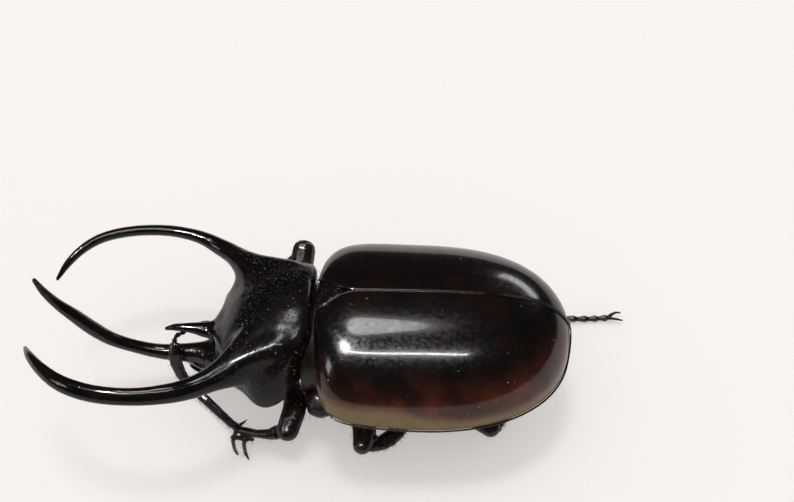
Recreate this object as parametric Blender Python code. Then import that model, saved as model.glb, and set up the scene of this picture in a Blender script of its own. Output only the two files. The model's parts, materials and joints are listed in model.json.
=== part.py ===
"""A large male atlas beetle, dried, life size, lying on its belly with its legs folded.

Lengths are in millimetres and are turned into metres where a mesh is made. While the
beetle is built, x = 0 is the waist between pronotum and wing cases, the head points
towards -X, the beetle's left side towards -Y, and z = 0 is the surface it lies on.
"""

from math import acos, cos, exp, pi, radians, sin

import bmesh
import bpy
from mathutils import Matrix, Vector

MM = 0.001
GAP = 0.3  # left between neighbouring pieces
SIDES = {"right": 1, "left": -1}

# Wing cases: a dome over the hind body.
CASE_LENGTH = 41.2
CASE_HALF_WIDTH = 17.8
CASE_WIDEST_X = 17.0
CASE_FRONT_X = 0.2
CASE_MARGIN_Z = 12.0
CASE_MARGIN_RISE = 1.4  # how far the side margin climbs from the widest place to the shoulder
CASE_HEIGHT = 12.3
CASE_TOP_X = 13.0
CASE_FRONT_REACH = 18.0
CASE_THICKNESS = 1.0
SHOULDER_POWER = 5.0
TAIL_POWER = 2.25
RIDGE_LINE_POWER = 4.0
RIDGE_END_POWER = 2.5
ACROSS_POWER = 2.15  # how square the cross-section is, above the margin
UP_POWER = 2.05
BELLY_POWER = 1.45
CASE_COLUMNS = 9
BODY_SIDES = 24

# Pronotum: x, half width, height of its side margin, top and underside, and how square the
# cross-section is below the margin.
PRONOTUM_STATIONS = (
    (-0.3, 12.7, 11.7, 22.7, 7.4, 1.3),
    (-2.0, 13.1, 11.2, 23.1, 6.2, 1.2),
    (-5.0, 13.5, 10.6, 23.0, 4.9, 1.15),
    (-7.6, 13.5, 10.5, 22.4, 4.2, 1.15),
    (-9.4, 12.8, 10.8, 21.6, 4.3, 1.2),
    (-11.2, 11.0, 11.5, 20.5, 5.0, 1.4),
    (-13.4, 9.9, 13.0, 18.6, 5.8, 1.8),
    (-15.2, 8.8, 13.4, 16.4, 6.4, 1.8),
    (-16.2, 8.0, 13.0, 14.8, 6.8, 1.8),
)
PRONOTUM_POWER = 2.2  # the same above the margin

# Its hind edge runs forward at the sides: from which y on, and how far it comes at the side margin.
HIND_SWEEP = {"right": (9.0, 3.4), "left": (6.0, 4.4)}
HIND_SWEEP_POWER = 1.1
UNDER_SWEEP_START = 3.0  # the same below the side margin
UNDER_SWEEP_POWER = 0.5
HIND_SWEEP_FADES = 8.0  # length over which the rest of the pronotum follows
HIND_FACE_FLATNESS = 0.02  # how thin the ring is that closes the hind face

# Horns: x, y on the right side, z, then the half widths along and across the broad face.
SIDE_HORN = (
    (-8.0, 6.0, 16.6, 5.2, 4.6),
    (-11.6, 9.9, 17.1, 3.5, 3.0),
    (-14.7, 12.7, 17.6, 2.15, 1.9),
    (-17.9, 14.8, 17.8, 1.75, 1.5),
    (-21.5, 16.4, 18.4, 1.55, 1.15),
    (-26.5, 17.3, 18.8, 1.4, 1.0),
    (-32.2, 17.0, 19.0, 1.4, 0.95),
    (-37.2, 15.4, 19.1, 1.35, 0.9),
)
SIDE_HORN_END = {
    "left": (
        (-41.0, 12.7, 18.9, 1.15, 0.8),
        (-44.0, 9.4, 17.8, 0.85, 0.65),
        (-45.9, 6.6, 16.2, 0.4, 0.35),
    ),
    "right": (
        (-40.4, 12.9, 18.9, 1.15, 0.8),
        (-42.8, 10.1, 17.9, 0.85, 0.65),
        (-44.3, 7.6, 16.6, 0.4, 0.35),
    ),
}
SIDE_HORN_ROOT_SHARE = 0.23
SIDE_HORN_TILT = radians(43)
LONG_HORN_SIDES = 12
SIDE_HORN_RINGS = 31
HEAD_HORN = (
    (-18.4, 0.0, 7.0, 2.5, 2.4),
    (-21.2, 0.0, 7.1, 1.85, 1.8),
    (-26.6, 0.0, 7.2, 1.35, 1.3),
    (-31.0, 0.0, 8.5, 1.15, 1.1),
    (-34.8, 0.0, 10.5, 1.2, 1.1),
    (-37.4, 0.0, 13.3, 1.3, 1.15),
    (-39.6, 0.0, 16.4, 1.2, 1.0),
    (-41.6, 0.0, 19.2, 0.95, 0.8),
    (-43.1, 0.0, 22.2, 0.7, 0.65),
    (-43.9, 0.0, 25.0, 0.4, 0.4),
)
HEAD_HORN_ROOT_SHARE = 0.16
HEAD_HORN_RINGS = 28
MIDDLE_HORN = (
    (-14.6, 0.0, 12.6, 3.6, 3.0),
    (-17.0, 0.0, 13.0, 2.3, 1.8),
    (-19.2, 0.0, 13.6, 1.35, 1.1),
    (-21.4, 0.0, 13.9, 0.9, 0.75),
    (-23.6, 0.0, 13.9, 0.65, 0.6),
    (-25.1, 0.0, 13.5, 0.35, 0.35),
)
MIDDLE_HORN_ROOT_SHARE = 0.38
MIDDLE_HORN_SIDES = 10
MIDDLE_HORN_RINGS = 18
STUB_SHARE = 0.06  # how far a horn's stub runs on in the piece that it grows from
STUB_BLOCK = 6.0  # length of the block that then trims it

# Swellings that lead from the pronotum into its side horns, and down to the middle one.
HORN_RIDGE = (
    (-4.6, 7.2, 18.6, 3.2, 3.0),
    (-9.0, 8.9, 18.1, 2.9, 2.5),
    (-12.6, 11.2, 17.8, 2.1, 1.8),
    (-15.4, 13.2, 17.7, 1.6, 1.45),
)
FRONT_APRON = (
    (-11.2, 10.2, 17.4, 3.4, 1.4),
    (-12.4, 6.6, 16.8, 3.2, 1.3),
    (-13.6, 3.2, 15.9, 3.0, 1.3),
    (-15.2, 0.6, 14.8, 2.6, 1.3),
)
FRONT_SLOPE = Vector((0.85, 0, 0.53))
FRONT_HOLLOW = ((-18.2, 0.0, 8.2), (5.2, 7.6, 4.9))  # centre and radii of the space for the head

# Head capsule: x, half width, middle height, half height.
HEAD_STATIONS = (
    (-12.8, 3.3, 8.0, 3.0),
    (-14.6, 4.0, 7.8, 3.5),
    (-16.4, 4.3, 7.2, 3.6),
    (-18.2, 3.7, 6.6, 3.2),
    (-19.8, 2.6, 6.1, 2.4),
    (-21.2, 1.7, 5.8, 1.4),
    (-22.3, 1.2, 5.6, 0.8),
)
EYE_CENTRE = Vector((-16.7, 3.8, 6.3))
EYE_RADIUS = 1.4

# Legs. Each path runs outwards from the body: x, y, z, then the two half widths. The first half
# width of a tibia lies towards broad. Teeth and spurs give their place along the tibia, the
# direction that they point in and their length; hooks are paths like those of the legs.
COXA_HALF_LENGTH = 3.2
COXA_RADIUS = 2.3
CLAW_LENGTH = 2.4
TOOTH_RADIUS = 0.55
TIBIA_EXTRA_RINGS = 4  # rings along a tibia beyond one for each row of its path
FOOT_SEGMENTS = 5
FOOT_SWELL = (0.42, 0.52, 0.66)  # half widths along one segment of a foot
LEGS = {
    "fore_left": {
        "coxa": (-5.6, -3.6, 4.2),
        "femur": (
            (-4.6, -4.6, 4.8, 1.7, 1.5),
            (-3.4, -9.4, 5.9, 2.0, 1.65),
            (-4.3, -14.1, 5.2, 1.9, 1.5),
        ),
        "tibia": (
            (-6.2, -13.6, 4.2, 1.25, 1.1),
            (-8.4, -13.5, 3.4, 0.75, 0.65),
            (-12.4, -12.0, 2.2, 0.7, 0.6),
            (-15.3, -9.4, 1.5, 0.75, 0.6),
            (-19.0, -5.8, 1.2, 0.85, 0.6),
            (-22.1, -3.5, 2.2, 0.85, 0.6),
            (-23.5, -2.8, 5.0, 0.95, 0.6),
            (-24.0, -2.3, 8.5, 1.1, 0.6),
            (-24.0, -0.8, 10.2, 1.0, 0.5),
        ),
        "broad": (0.75, 0.45, 0.5),
        "tarsus": (
            (-24.2, -1.0, 10.1),
            (-24.2, 1.2, 9.9),
            (-23.4, 2.5, 9.3),
            (-22.4, 3.6, 9.2),
            (-21.2, 4.5, 8.8),
        ),
        "foot_size": 0.75,
        "claws": (0.95, -0.05, 0.05),
        "teeth": (
            (0.27, (0.74, 0.66, 0.12), 2.4),
            (0.9, (-0.9, -0.2, 0.3), 1.0),
        ),
        "hooks": (
            (
                (-13.2, -11.8, 1.8, 0.45, 0.4),
                (-13.6, -13.5, 1.2, 0.42, 0.38),
                (-13.2, -14.8, 0.7, 0.36, 0.33),
                (-12.6, -15.6, 0.45, 0.22, 0.2),
            ),
            (
                (-11.2, -12.4, 2.2, 0.45, 0.4),
                (-11.7, -14.1, 1.4, 0.42, 0.38),
                (-11.3, -15.5, 0.8, 0.36, 0.33),
                (-10.7, -16.4, 0.45, 0.22, 0.2),
            ),
            (
                (-13.7, -12.9, 1.4, 0.45, 0.4),
                (-12.0, -13.3, 1.7, 0.5, 0.45),
                (-10.3, -13.5, 1.8, 0.4, 0.35),
            ),
        ),
    },
    "fore_right": {
        "coxa": (-6.6, 3.6, 4.2),
        "femur": (
            (-6.0, 5.4, 3.9, 1.6, 1.5),
            (-5.2, 12.8, 7.4, 2.3, 1.7),
            (-4.1, 19.9, 12.0, 2.1, 1.7),
        ),
        "tibia": (
            (-5.2, 19.4, 11.0, 0.9, 0.9),
            (-9.2, 17.3, 7.4, 0.95, 0.75),
            (-12.8, 13.9, 3.4, 1.15, 0.75),
            (-15.2, 11.4, 1.2, 1.35, 0.8),
        ),
        "tarsus": (
            (-15.0, 11.6, 1.3),
            (-16.4, 9.4, 0.8),
            (-17.6, 7.4, 0.6),
            (-18.6, 5.4, 0.6),
            (-19.0, 3.4, 0.6),
        ),
        "claws": (-0.3, -0.95, 0.0),
        "teeth": (
            (0.45, (0.1, 0.95, -0.1), 1.7),
            (0.7, (-0.2, 0.95, -0.1), 1.7),
            (0.95, (-0.6, 0.7, 0.1), 1.6),
        ),
    },
    "middle_left": {
        "coxa": (4.6, -5.4, 3.6),
        "femur": (
            (5.8, -7.4, 3.8, 1.6, 1.4),
            (8.0, -12.0, 4.4, 2.1, 1.6),
            (7.9, -15.9, 4.4, 1.6, 1.4),
        ),
        "tibia": (
            (8.4, -15.5, 3.9, 1.1, 0.9),
            (10.3, -14.5, 2.8, 1.25, 0.85),
            (12.3, -12.7, 2.0, 1.4, 0.85),
            (14.0, -10.1, 1.4, 1.4, 0.85),
            (15.5, -7.3, 1.0, 1.4, 0.8),
        ),
        "broad": (-0.65, 0.7, 0.3),
        "tarsus": (
            (15.2, -7.4, 0.9),
            (18.6, -6.0, 0.7),
            (22.0, -5.6, 0.6),
            (25.2, -5.4, 0.6),
        ),
        "claws": (0.9, -0.4, 0.0),
        "teeth": (
            (0.36, (0.5, -0.85, 0.1), 1.5),
            (0.52, (0.5, -0.85, 0.1), 1.6),
            (0.7, (0.5, -0.85, 0.1), 1.6),
            (0.96, (0.6, -0.8, 0.1), 1.8),
            (0.96, (0.3, 0.9, 0.1), 1.6),
        ),
    },
    "middle_right": {
        "coxa": (4.6, 5.4, 3.6),
        "femur": (
            (5.6, 7.4, 3.8, 1.6, 1.4),
            (7.6, 11.8, 4.2, 2.1, 1.6),
            (8.2, 16.0, 4.4, 1.6, 1.4),
        ),
        "tibia": (
            (9.0, 15.8, 3.9, 1.0, 0.9),
            (11.6, 14.2, 2.9, 1.3, 0.9),
            (14.4, 12.4, 1.8, 1.5, 0.9),
            (17.0, 10.6, 0.9, 1.7, 0.9),
        ),
        "tarsus": (
            (16.6, 10.9, 0.9),
            (20.6, 8.4, 0.7),
            (24.0, 8.6, 0.6),
            (27.4, 9.8, 0.6),
        ),
        "claws": (0.9, 0.4, 0.0),
        "teeth": (
            (0.36, (0.5, 0.85, 0.1), 1.5),
            (0.52, (0.5, 0.85, 0.1), 1.6),
            (0.7, (0.5, 0.85, 0.1), 1.6),
            (0.96, (0.6, 0.8, 0.1), 1.8),
            (0.96, (0.3, -0.9, 0.1), 1.6),
        ),
    },
    "hind_left": {
        "coxa": (15.6, -6.2, 4.2),
        "femur": (
            (17.4, -7.2, 4.4, 1.7, 1.4),
            (23.4, -7.8, 4.3, 2.2, 1.6),
            (28.8, -11.7, 4.0, 1.7, 1.45),
        ),
        "tibia": (
            (29.6, -11.3, 3.8, 0.9, 0.8),
            (31.4, -8.2, 2.9, 1.2, 0.85),
            (33.2, -4.6, 1.7, 1.4, 0.85),
            (34.6, -1.4, 0.9, 1.7, 0.9),
        ),
        "tarsus": (
            (34.4, -1.7, 0.95),
            (35.5, 2.1, 0.72),
            (36.7, 5.3, 0.62),
            (37.9, 8.3, 0.6),
        ),
        "claws": (0.35, 0.9, 0.05),
        "teeth": (
            (0.45, (0.85, -0.5, 0.1), 0.8),
            (0.68, (0.85, -0.5, 0.1), 1.2),
            (0.96, (0.95, 0.2, 0.1), 2.0),
            (0.96, (-0.5, 0.85, 0.1), 1.8),
        ),
    },
    "hind_right": {
        "coxa": (15.6, 6.2, 4.2),
        "femur": (
            (17.4, 7.4, 4.4, 1.7, 1.4),
            (23.0, 10.4, 4.3, 2.4, 1.6),
            (28.6, 13.0, 4.3, 1.6, 1.4),
        ),
        "tibia": (
            (29.1, 13.2, 4.0, 0.9, 0.8),
            (33.4, 14.2, 3.2, 1.2, 0.85),
            (37.8, 14.4, 1.9, 1.4, 0.85),
            (41.6, 14.4, 0.9, 1.7, 0.9),
        ),
        "tarsus": (
            (41.3, 14.4, 0.9),
            (45.0, 14.3, 0.7),
            (48.4, 14.5, 0.6),
            (51.4, 14.8, 0.6),
        ),
        "claws": (0.95, 0.1, 0.15),
        "teeth": (
            (0.45, (0.3, 0.95, 0.1), 1.6),
            (0.68, (0.3, 0.95, 0.1), 1.6),
            (0.96, (0.8, 0.6, 0.1), 2.0),
            (0.96, (0.8, -0.6, 0.1), 1.8),
        ),
    },
}


def material(name, colour, roughness):
    """A plain Principled finish."""
    finish = bpy.data.materials.new(name)
    finish.use_nodes = True
    shader = finish.node_tree.nodes["Principled BSDF"]
    shader.inputs["Base Color"].default_value = (*colour, 1)
    shader.inputs["Roughness"].default_value = roughness
    return finish


def smooth_path(points, count):
    """Points read evenly from a smooth curve through the given rows of numbers."""
    rows = [Vector(row) for row in points]
    rows = [rows[0] * 2 - rows[1], *rows, rows[-1] * 2 - rows[-2]]
    path = []
    for step in range(count):
        place = step / (count - 1) * (len(points) - 1)
        first = min(int(place), len(points) - 2)
        t = place - first
        before, start, end, after = rows[first : first + 4]
        path.append(
            (start * 2 + (end - before) * t
             + (before * 2 - start * 5 + end * 4 - after) * t * t
             + (start * 3 - before - end * 3 + after) * t ** 3) / 2
        )
    return path


def ring(centre, along, broad, half_broad, half_thin, sides):
    """An ellipse of points round the direction along, its long axis towards broad."""
    along = along.normalized()
    across = (broad - broad.dot(along) * along).normalized()
    up = along.cross(across)
    return [
        centre + across * half_broad * cos(turn) + up * half_thin * sin(turn)
        for turn in (2 * pi * i / sides for i in range(sides))
    ]


def loft(rings):
    """A closed mesh through rings of points; a ring of one point closes an end to a tip."""
    bm = bmesh.new()
    rows = [[bm.verts.new(point * MM) for point in points] for points in rings]
    for row, after in zip(rows, rows[1:]):
        sides = max(len(row), len(after))
        for i in range(sides):
            j = (i + 1) % sides
            corners = [row[i % len(row)], row[j % len(row)], after[j % len(after)], after[i % len(after)]]
            bm.faces.new(list(dict.fromkeys(corners)))
    for row in (rows[0], rows[-1]):
        if len(row) > 1:
            bm.faces.new(row)
    bmesh.ops.recalc_face_normals(bm, faces=bm.faces)
    return bm


def new_object(name, bm, finish=None):
    """Puts a mesh into the scene as one object, shaded smooth with its real edges kept sharp."""
    mesh = bpy.data.meshes.new(name)
    bm.to_mesh(mesh)
    bm.free()
    mesh.shade_smooth()
    mesh.set_sharp_from_angle(angle=radians(40))
    if finish:
        mesh.materials.append(finish)
    thing = bpy.data.objects.new(name, mesh)
    bpy.context.scene.collection.objects.link(thing)
    return thing


def sweep(points, sides, count, broad=Vector((0, 0, 1)), grow=0.0, share=(0.0, 1.0), ends=(True, True)):
    """A round or flattened limb along rows of x, y, z and two half widths.

    share keeps only that part of the path, ends says which ends are rounded and
    grow makes the whole limb fatter by that much.
    """
    path = smooth_path(points, count)
    first, last = round(share[0] * (count - 1)), round(share[1] * (count - 1))
    spine = [Vector(row[:3]) for row in path]
    rings = []
    for i in range(first, last + 1):
        along = spine[min(i + 1, count - 1)] - spine[max(i - 1, 0)]
        rings.append((spine[i], along.normalized(), path[i][3] + grow, path[i][4] + grow))
    shaped = [ring(centre, along, broad, wide, thin, sides) for centre, along, wide, thin in rings]
    for at_end, (centre, along, wide, thin) in enumerate((rings[0], rings[-1])):
        if not ends[at_end]:
            continue
        away = along if at_end else -along
        reach = min(wide, thin)
        caps = []
        for turn in (pi / 6, pi / 3):
            middle = centre + away * reach * sin(turn)
            caps.append(ring(middle, along, broad, wide * cos(turn), thin * cos(turn), sides))
        caps.append([centre + away * reach])
        shaped = shaped + caps if at_end else caps[::-1] + shaped
    return loft(shaped)


def ellipsoid(centre, radii, segments, rings_count, turn=Matrix.Identity(3)):
    """An ellipsoid mesh."""
    bm = bmesh.new()
    bmesh.ops.create_uvsphere(bm, u_segments=segments, v_segments=rings_count, radius=1)
    for vert in bm.verts:
        shaped = Vector((vert.co.x * radii[0], vert.co.y * radii[1], vert.co.z * radii[2]))
        vert.co = (turn @ shaped + Vector(centre)) * MM
    return bm


def cone(root, direction, radius, length, sides=5):
    """A tapered spine that starts below the surface it grows from."""
    direction = Vector(direction).normalized()
    broad = Vector((0, 0, 1)) if abs(direction.z) < 0.9 else Vector((1, 0, 0))
    start = root - direction * radius
    rings = []
    for share in (0.0, 0.6):
        centre = start + direction * (length + radius) * share
        half = radius * (1 - share)
        rings.append(ring(centre, direction, broad, half, half, sides))
    return loft([*rings, [root + direction * length]])


def apply_boolean(thing, pieces, operation):
    """Joins pieces to an object, or cuts them from it, and keeps its largest closed surface."""
    group = bpy.data.collections.new(thing.name + "_pieces")
    bpy.context.scene.collection.children.link(group)
    for piece in pieces:
        for owner in list(piece.users_collection):
            owner.objects.unlink(piece)
        group.objects.link(piece)
    boolean = thing.modifiers.new(operation.title(), "BOOLEAN")
    boolean.operation = operation
    boolean.operand_type = "COLLECTION"
    boolean.collection = group
    boolean.solver = "EXACT"
    finishes = list(thing.data.materials)
    apply_modifiers(thing)
    for piece in pieces:
        bpy.data.objects.remove(piece)
    bpy.data.collections.remove(group)
    joined = thing.data
    keep_largest(joined)
    joined.materials.clear()
    for finish in finishes:
        joined.materials.append(finish)
    joined.shade_smooth()
    joined.set_sharp_from_angle(angle=radians(40))


def apply_modifiers(thing):
    """Replaces an object's mesh with the one that its modifiers give."""
    graph = bpy.context.evaluated_depsgraph_get()
    shaped = bpy.data.meshes.new_from_object(thing.evaluated_get(graph))
    old = thing.data
    thing.modifiers.clear()
    thing.data = shaped
    bpy.data.meshes.remove(old)


def keep_largest(mesh):
    """Removes every closed surface but the one with the largest volume."""
    bm = bmesh.new()
    bm.from_mesh(mesh)
    bmesh.ops.triangulate(bm, faces=bm.faces)
    unseen = set(bm.faces)
    surfaces = []
    while unseen:
        stack = [unseen.pop()]
        surface = []
        while stack:
            face = stack.pop()
            surface.append(face)
            for edge in face.edges:
                for other in edge.link_faces:
                    if other in unseen:
                        unseen.remove(other)
                        stack.append(other)
        volume = sum(a.co.dot(b.co.cross(c.co)) for a, b, c in (face.verts for face in surface))
        surfaces.append((abs(volume), len(surfaces), surface))
    largest = set(max(surfaces)[2])
    strays = [face for face in bm.faces if face not in largest]
    bmesh.ops.delete(bm, geom=strays, context="FACES")
    bm.to_mesh(mesh)
    bm.free()


def join(name, meshes, finish):
    """One closed body from several overlapping meshes."""
    first, *rest = meshes
    thing = new_object(name, first, finish)
    pieces = [new_object(f"{name}_piece{i}", bm) for i, bm in enumerate(rest)]
    apply_boolean(thing, pieces, "UNION")
    return thing


def cut(thing, meshes):
    """Takes meshes away from an object."""
    cutters = [new_object(f"{thing.name}_cutter{i}", bm) for i, bm in enumerate(meshes)]
    apply_boolean(thing, cutters, "DIFFERENCE")


def case_half_width(x, inset=0.0):
    """Half width of the wing cases' dome, or of one lying inset below it."""
    if x < CASE_WIDEST_X:
        reach, power = CASE_WIDEST_X - CASE_FRONT_X, SHOULDER_POWER
    else:
        reach, power = CASE_LENGTH - CASE_WIDEST_X, TAIL_POWER
    share = min(abs(x - CASE_WIDEST_X) / (reach - inset), 1.0)
    return (CASE_HALF_WIDTH - inset) * (1 - share ** power) ** (1 / power)


def case_height(x, inset=0.0):
    """Height of the dome's ridge above the side margin."""
    reach = CASE_FRONT_REACH if x < CASE_TOP_X else CASE_LENGTH + 0.3 - CASE_TOP_X
    share = min(abs(x - CASE_TOP_X) / (reach - inset), 1.0)
    return (CASE_HEIGHT - inset) * (1 - share ** RIDGE_LINE_POWER) ** (1 / RIDGE_END_POWER)


def case_rise(x):
    """How far the wing cases' side margin has climbed at x."""
    return CASE_MARGIN_RISE * max(0.0, 1 - x / CASE_WIDEST_X)


def case_point(x, y, inset=0.0):
    """The dome's surface over x and y, with the low swellings at shoulder and tip."""
    width = case_half_width(x, inset)
    share = min(abs(y) / width, 1.0) if width > 0 else 1.0
    rise = case_rise(x)
    dome = (case_height(x, inset) - rise) * (1 - share ** ACROSS_POWER) ** (1 / UP_POWER)
    z = CASE_MARGIN_Z + rise + dome
    if inset == 0:
        shoulder = exp(-((x - 5.5) / 2.6) ** 2 - ((abs(y) - 12.6) / 2.2) ** 2)
        tip = exp(-((x - 33.5) / 2.8) ** 2 - ((abs(y) - 7.4) / 2.4) ** 2)
        z += 0.35 * (shoulder + tip) * (1 - share)
    return Vector((x, y, z))


def inset_x(x, inset):
    """Where a station of the outer dome lies on the dome that is inset below it."""
    reach = CASE_WIDEST_X - CASE_FRONT_X if x < CASE_WIDEST_X else CASE_LENGTH - CASE_WIDEST_X
    return CASE_WIDEST_X + (x - CASE_WIDEST_X) * (reach - inset) / reach


def even_ys(low, high, width, columns):
    """Places across the dome from low to high, closer together where it turns down to its margin."""
    if low <= 0:
        return [low + (high - low) * j / columns for j in range(columns + 1)]
    start, end = (acos(min(1.0, (edge / width) ** (ACROSS_POWER / 2))) for edge in (low, high))
    turns = [start + (end - start) * j / columns for j in range(columns + 1)]
    return [width * max(cos(turn), 0.0) ** (2 / ACROSS_POWER) for turn in turns]


def shell(stations, inner_edge, outer_edge, columns):
    """A curved plate of the wing cases' thickness between two edges given as y over x."""
    layers = []
    for inset in (0.0, CASE_THICKNESS):
        rows = []
        for x in stations:
            place = inset_x(x, inset)
            width = case_half_width(place, inset)
            ys = even_ys(inner_edge(x, width), outer_edge(x, width), width, columns)
            rows.append([case_point(place, y, inset) for y in ys])
        layers.append(rows)
    bm = bmesh.new()
    grids = [[[bm.verts.new(point * MM) for point in row] for row in rows] for rows in layers]
    last_row, last_column = len(stations) - 1, columns
    for grid in grids:
        for i in range(last_row):
            for j in range(last_column):
                a, b, c, d = grid[i][j], grid[i + 1][j], grid[i + 1][j + 1], grid[i][j + 1]
                bm.faces.new((a, b, c))
                bm.faces.new((a, c, d))
    rim = (
        [(i, 0) for i in range(last_row)]
        + [(last_row, j) for j in range(last_column)]
        + [(i, last_column) for i in range(last_row, 0, -1)]
        + [(0, j) for j in range(last_column, 0, -1)]
    )
    for (i, j), (k, m) in zip(rim, rim[1:] + rim[:1]):
        bm.faces.new((grids[0][i][j], grids[0][k][m], grids[1][k][m], grids[1][i][j]))
    bmesh.ops.recalc_face_normals(bm, faces=bm.faces)
    return bm


def mirrored(bm):
    """The same mesh on the beetle's other side."""
    for vert in bm.verts:
        vert.co.y = -vert.co.y
    bmesh.ops.reverse_faces(bm, faces=bm.faces)
    return bm


def scutellum_edge(x):
    """Half width of the small shield between the wing cases' front ends."""
    return 2.9 * max(0.0, 1 - (x / 4.9) ** 1.6)


def wing_cases(finish):
    stations = [0.3, 0.7, 1.4, 2.5, 4.0, 5.8, 8.2, 11.4, 15.0, 18.8, 22.6,
                26.2, 29.4, 32.2, 34.6, 36.6, 38.2, 39.5, 40.4, 41.0]
    for side in ("right", "left"):
        bm = shell(
            stations,
            lambda x, width: max(GAP / 2, scutellum_edge(x) + GAP if x < 5 else 0.0),
            lambda x, width: width,
            CASE_COLUMNS,
        )
        new_object(f"elytron_{side}", mirrored(bm) if side == "left" else bm, finish)


def scutellum(finish):
    stations = [0.35, 0.9, 1.6, 2.4, 3.2, 3.9, 4.4]
    bm = shell(stations, lambda x, width: -scutellum_edge(x), lambda x, width: scutellum_edge(x), 6)
    new_object("scutellum", bm, finish)


def body_ring(x, half_width, top, bottom):
    """A cross-section of the hind body, domed above its side margin and keeled below."""
    points = []
    rise = case_rise(x)
    for i in range(BODY_SIDES):
        turn = 2 * pi * i / BODY_SIDES
        c, s = cos(turn), sin(turn)
        if s >= 0:
            across = ACROSS_POWER
            z = CASE_MARGIN_Z + rise + (top - rise) * s ** (2 / UP_POWER)
        else:
            across = BELLY_POWER
            z = CASE_MARGIN_Z + rise - (bottom + rise) * (-s) ** (2 / BELLY_POWER)
        y = half_width * abs(c) ** (2 / across) * (1 if c > 0 else -1)
        points.append(Vector((x, y, max(z, 0.0))))
    return points


def dome_ring(x, depth):
    """The hind body's cross-section where it fills the wing cases."""
    inset = CASE_THICKNESS + GAP
    return body_ring(x, case_half_width(x, inset), case_height(x, inset), depth)


def thorax_underside(finish):
    rings = [body_ring(0.0, 5.4, 7.6, 6.0), body_ring(1.6, 6.0, 9.0, 8.2)]
    for x, depth in (
        (2.5, 9.4), (3.6, 10.8), (5.6, 12.0), (8.0, 12.5), (11.0, 12.6), (15.0, 12.5), (19.0, 12.3),
    ):
        rings.append(dome_ring(x, depth))
    pieces = [loft(rings)]
    for side in SIDES.values():
        pieces.append(ellipsoid((0.9, 8.0 * side, 6.3), (3.3, 3.9, 2.6), 10, 6))
    return join("thorax_underside", pieces, finish)


def abdomen(finish):
    """Six belly plates, each with its hind edge standing a little proud."""
    start, end, plates = 19.3, 36.9, 6
    rings = []
    for plate in range(plates):
        for share, proud in ((0.04, 0.0), (0.5, 0.05), (0.96, 0.28)):
            x = start + (end - start) * (plate + share) / plates
            sag = 12.2 - 7.4 * ((x - start) / (end - start)) ** 1.9
            rings.append(dome_ring(x, sag + proud))
    return new_object("abdomen", loft(rings), finish)


def pygidium(finish):
    rings = []
    for x, depth in ((37.2, 4.6), (38.2, 3.9), (39.0, 3.1), (39.5, 2.2), (39.75, 1.4)):
        rings.append(dome_ring(x, depth))
    return new_object("pygidium", loft(rings), finish)


def hind_sweep(x, y, under):
    """How far a point of the pronotum, above or under its side margin, lies forward of its station."""
    start, reach = HIND_SWEEP["right" if y > 0 else "left"]
    power = HIND_SWEEP_POWER
    if under:
        start, power = UNDER_SWEEP_START, UNDER_SWEEP_POWER
    aside = max(0.0, (abs(y) - start) / (PRONOTUM_STATIONS[0][1] - start))
    return reach * aside ** power * max(0.0, 1 + x / HIND_SWEEP_FADES)


def pronotum_ring(station, flatten=1.0, sides=32):
    """A cross-section of the pronotum; flatten presses it towards its side margin."""
    x, half_width, margin, top, bottom, power_below = station
    points = []
    for i in range(sides):
        turn = 2 * pi * i / sides
        c, s = cos(turn), sin(turn)
        power = PRONOTUM_POWER if s >= 0 else power_below
        y = half_width * abs(c) ** (2 / power) * (1 if c > 0 else -1)
        rise = (top - margin if s >= 0 else bottom - margin) * abs(s) ** (2 / power)
        points.append(Vector((x - hind_sweep(x, y, s < 0), y, margin + rise * flatten)))
    return points


def on_side(points, side):
    """The rows of a path moved to the beetle's other side where side is -1."""
    return [(row[0], row[1] * side, *row[2:]) for row in points]


def head_rings(grow=0.0, sides=20):
    """The head capsule's cross-sections, as they are or fattened to cut a space for it."""
    rings = []
    for row, (x, half_width, middle, half_height) in enumerate(smooth_path(HEAD_STATIONS, 10)):
        x += grow if row == 0 else 0.0
        points = []
        for i in range(sides):
            turn = 2 * pi * i / sides
            y = (half_width + grow) * cos(turn)
            points.append(Vector((x, y, middle + (half_height + grow) * sin(turn))))
        rings.append(points)
    return rings


def blend(thing, voxel, rounds, triangles):
    """Melts joined pieces into one flowing surface of about so many triangles."""
    remesh = thing.modifiers.new("Remesh", "REMESH")
    remesh.mode = "VOXEL"
    remesh.voxel_size = voxel * MM
    smooth = thing.modifiers.new("Smooth", "SMOOTH")
    smooth.factor = 0.5
    smooth.iterations = rounds
    apply_modifiers(thing)
    decimate = thing.modifiers.new("Decimate", "DECIMATE")
    decimate.ratio = triangles / (2 * len(thing.data.polygons))
    apply_modifiers(thing)


def horn_table():
    """Each horn's rows, sides, rings, the direction of its broad face and its root's place."""
    table = {}
    for name, side in SIDES.items():
        broad = Vector((0, -side * cos(SIDE_HORN_TILT), sin(SIDE_HORN_TILT)))
        rows = on_side(SIDE_HORN + SIDE_HORN_END[name], side)
        table[f"horn_pronotum_{name}"] = (
            rows, LONG_HORN_SIDES, SIDE_HORN_RINGS, broad, SIDE_HORN_ROOT_SHARE)
    table["horn_pronotum_middle"] = (
        MIDDLE_HORN, MIDDLE_HORN_SIDES, MIDDLE_HORN_RINGS, Vector((0, 1, 0)), MIDDLE_HORN_ROOT_SHARE)
    table["horn_head"] = (
        HEAD_HORN, LONG_HORN_SIDES, HEAD_HORN_RINGS, Vector((0, 1, 0)), HEAD_HORN_ROOT_SHARE)
    return table


def root_plane(name):
    """Where a horn's own node starts, and which way it runs there."""
    points, _, count, _, share = horn_table()[name]
    path = smooth_path(points, count)
    i = round(share * (count - 1))
    along = Vector(path[i + 1][:3]) - Vector(path[i - 1][:3])
    return Vector(path[i][:3]), along.normalized()


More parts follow.
